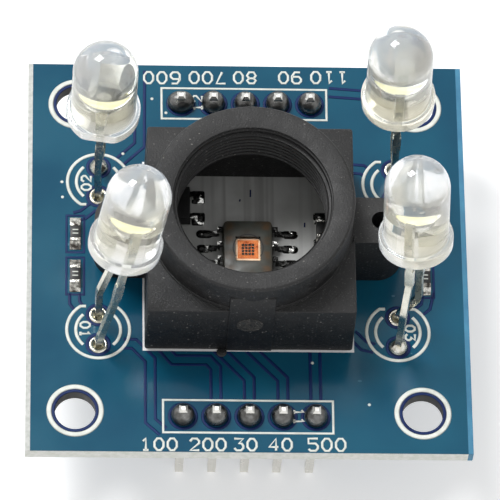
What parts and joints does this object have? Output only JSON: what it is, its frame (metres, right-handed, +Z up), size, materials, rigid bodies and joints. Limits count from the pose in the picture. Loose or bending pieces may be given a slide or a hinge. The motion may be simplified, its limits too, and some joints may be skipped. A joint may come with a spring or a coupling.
{
  "type": "color sensor module",
  "caption": "Square circuit board with a clear light sensor under a black threaded lens holder, clear lamps on bent leads round it and two header rows underneath.",
  "frame": {"origin": "centre of the four mounting holes, on the board's underside", "axes": "+Z up out of the lens holder's bore, pins point to -Z; +X to the right and +Y to the back, along the board's edges; the header rows run along X"},
  "size_m": [0.0342, 0.0336, 0.0308],
  "materials": {
    "board": "blue solder mask, semi-gloss",
    "holder_plastic": "black moulded, satin",
    "screw_steel": "zinc plated",
    "header_plastic": "black moulded",
    "pin_metal": "tin plated",
    "solder": "bright solder",
    "clear_resin": "clear, polished",
    "lead_metal": "tinned",
    "sensor_die": "coated silicon",
    "chip_plastic": "black moulded",
    "capacitor_ceramic": "fired, satin",
    "resistor_ceramic": "glazed black with tinned ends",
    "phosphor": "yellow, dull"
  },
  "bodies": {
    "root": {"circuit_board": "board", "lens_holder": "holder_plastic", "holder_screw_left": "screw_steel", "holder_screw_right": "screw_steel", "header_front_strip": "header_plastic", "header_front_pin_1": "pin_metal", "header_front_pin_2": "pin_metal", "header_front_pin_3": "pin_metal", "header_front_pin_4": "pin_metal", "header_front_pin_5": "pin_metal", "header_front_solder": "solder", "header_rear_strip": "header_plastic", "header_rear_pin_1": "pin_metal", "header_rear_pin_2": "pin_metal", "header_rear_pin_3": "pin_metal", "header_rear_pin_4": "pin_metal", "header_rear_pin_5": "pin_metal", "header_rear_solder": "solder", "sensor_package": "clear_resin", "sensor_paddle": "lead_metal", "sensor_die": "sensor_die", "sensor_leg_left_1": "lead_metal", "sensor_leg_left_2": "lead_metal", "sensor_leg_left_3": "lead_metal", "sensor_leg_left_4": "lead_metal", "sensor_leg_right_1": "lead_metal", "sensor_leg_right_2": "lead_metal", "sensor_leg_right_3": "lead_metal", "sensor_leg_right_4": "lead_metal", "transistor_package": "chip_plastic", "transistor_leg_1": "lead_metal", "transistor_leg_2": "lead_metal", "transistor_leg_3": "lead_metal", "capacitor": "capacitor_ceramic", "resistor_front_left": "resistor_ceramic", "resistor_front_right": "resistor_ceramic", "resistor_rear_left": "resistor_ceramic", "resistor_rear_right": "resistor_ceramic", "led_front_left_lens": "clear_resin", "led_front_left_anode": "lead_metal", "led_front_left_cathode": "lead_metal", "led_front_left_phosphor": "phosphor", "led_front_left_solder": "solder", "led_rear_left_lens": "clear_resin", "led_rear_left_anode": "lead_metal", "led_rear_left_cathode": "lead_metal", "led_rear_left_phosphor": "phosphor", "led_rear_left_solder": "solder", "led_front_right_lens": "clear_resin", "led_front_right_anode": "lead_metal", "led_front_right_cathode": "lead_metal", "led_front_right_phosphor": "phosphor", "led_front_right_solder": "solder", "led_rear_right_lens": "clear_resin", "led_rear_right_anode": "lead_metal", "led_rear_right_cathode": "lead_metal", "led_rear_right_phosphor": "phosphor", "led_rear_right_solder": "solder"}
  },
  "joints": []
}
